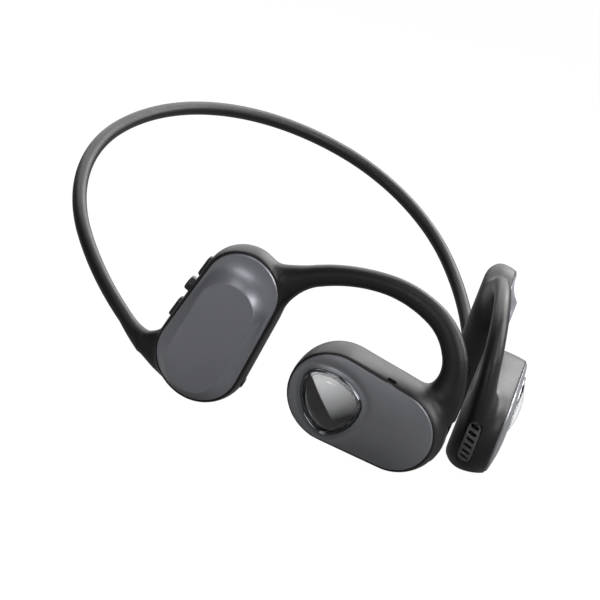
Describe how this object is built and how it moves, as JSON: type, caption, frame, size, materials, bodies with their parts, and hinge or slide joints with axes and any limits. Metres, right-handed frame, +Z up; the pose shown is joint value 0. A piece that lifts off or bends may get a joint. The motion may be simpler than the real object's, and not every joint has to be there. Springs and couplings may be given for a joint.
{
  "type": "open-ear neckband headphones",
  "caption": "Open-ear neckband headphones: two control housings behind the ears, soft hooks over the ears, speaker pods in front, joined by a sprung neckband.",
  "frame": {"origin": "on the surface the headphones lie on, under the middle of their bounding box", "axes": "+X towards the wearer's right unit, +Y forward from the neckband to the speaker pods, +Z up from the surface"},
  "size_m": [0.1236, 0.1484, 0.0632],
  "materials": {
    "soft_skin": "satin",
    "housing_shell": "satin",
    "control_cover": "satin metallic",
    "pod_cover": "satin",
    "button_rubber": "satin",
    "clear_lens": "clear",
    "bezel_metal": "satin",
    "reflector_metal": "spun",
    "grille_plastic": "satin",
    "mesh_cloth": "woven",
    "spring_wire": "drawn",
    "cable_jacket": "matte",
    "cell_foil": "foil",
    "circuit_board": "solder mask",
    "switch_case": "moulded",
    "connector_shell": "nickel",
    "driver_frame": "stamped",
    "magnet_nickel": "plated",
    "membrane": "film",
    "microphone_can": "plated"
  },
  "bodies": {
    "headset": {"neckband_sleeve": "soft_skin", "left_blank_plug": "soft_skin", "right_ear_hook": "soft_skin", "left_ear_hook": "soft_skin", "right_control_housing": "housing_shell", "left_control_housing": "housing_shell", "right_pod_housing": "housing_shell", "left_pod_housing": "housing_shell", "right_outer_cover": "control_cover", "left_outer_cover": "control_cover", "right_pod_cover": "pod_cover", "left_pod_cover": "pod_cover", "right_lens": "clear_lens", "left_lens": "clear_lens", "right_lens_bezel": "bezel_metal", "left_lens_bezel": "bezel_metal", "right_reflector": "reflector_metal", "left_reflector": "reflector_metal", "right_grille": "grille_plastic", "left_grille": "grille_plastic", "right_grille_mesh": "mesh_cloth", "left_grille_mesh": "mesh_cloth", "neckband_wire": "spring_wire", "right_hook_wire": "spring_wire", "left_hook_wire": "spring_wire", "neckband_cable": "cable_jacket", "right_hook_cable": "cable_jacket", "left_hook_cable": "cable_jacket", "battery_cell": "cell_foil", "main_board": "circuit_board", "cell_board": "circuit_board", "button_switches": "switch_case", "charging_connector": "connector_shell", "right_driver_basket": "driver_frame", "left_driver_basket": "driver_frame", "right_driver_magnet": "magnet_nickel", "left_driver_magnet": "magnet_nickel", "right_driver_diaphragm": "membrane", "left_driver_diaphragm": "membrane", "right_microphone": "microphone_can", "left_microphone": "microphone_can"},
    "volume_up_button": {"volume_up_button": "button_rubber"},
    "play_button": {"play_button": "button_rubber"},
    "volume_down_button": {"volume_down_button": "button_rubber"},
    "port_flap": {"port_flap": "soft_skin"}
  },
  "joints": [
    {"name": "volume_up_press", "type": "slide", "parent": "headset", "child": "volume_up_button", "axis": [-0.6335, 0.6379, -0.438], "range_m": [0, 0.00035], "stiffness_N_per_m": 2000, "springref_m": -0.0004},
    {"name": "play_press", "type": "slide", "parent": "headset", "child": "play_button", "axis": [-0.6335, 0.6379, -0.438], "range_m": [0, 0.00035], "stiffness_N_per_m": 2000, "springref_m": -0.0004},
    {"name": "volume_down_press", "type": "slide", "parent": "headset", "child": "volume_down_button", "axis": [-0.6335, 0.6379, -0.438], "range_m": [0, 0.00035], "stiffness_N_per_m": 2000, "springref_m": -0.0004},
    {"name": "port_flap_hinge", "type": "hinge", "parent": "headset", "child": "port_flap", "pos_m": [0.03211, 0.02547, 0.01695], "axis": [0.749, 0.6476, -0.1401], "range_deg": [0, 75], "stiffness_Nm_per_rad": 0.0002}
  ]
}
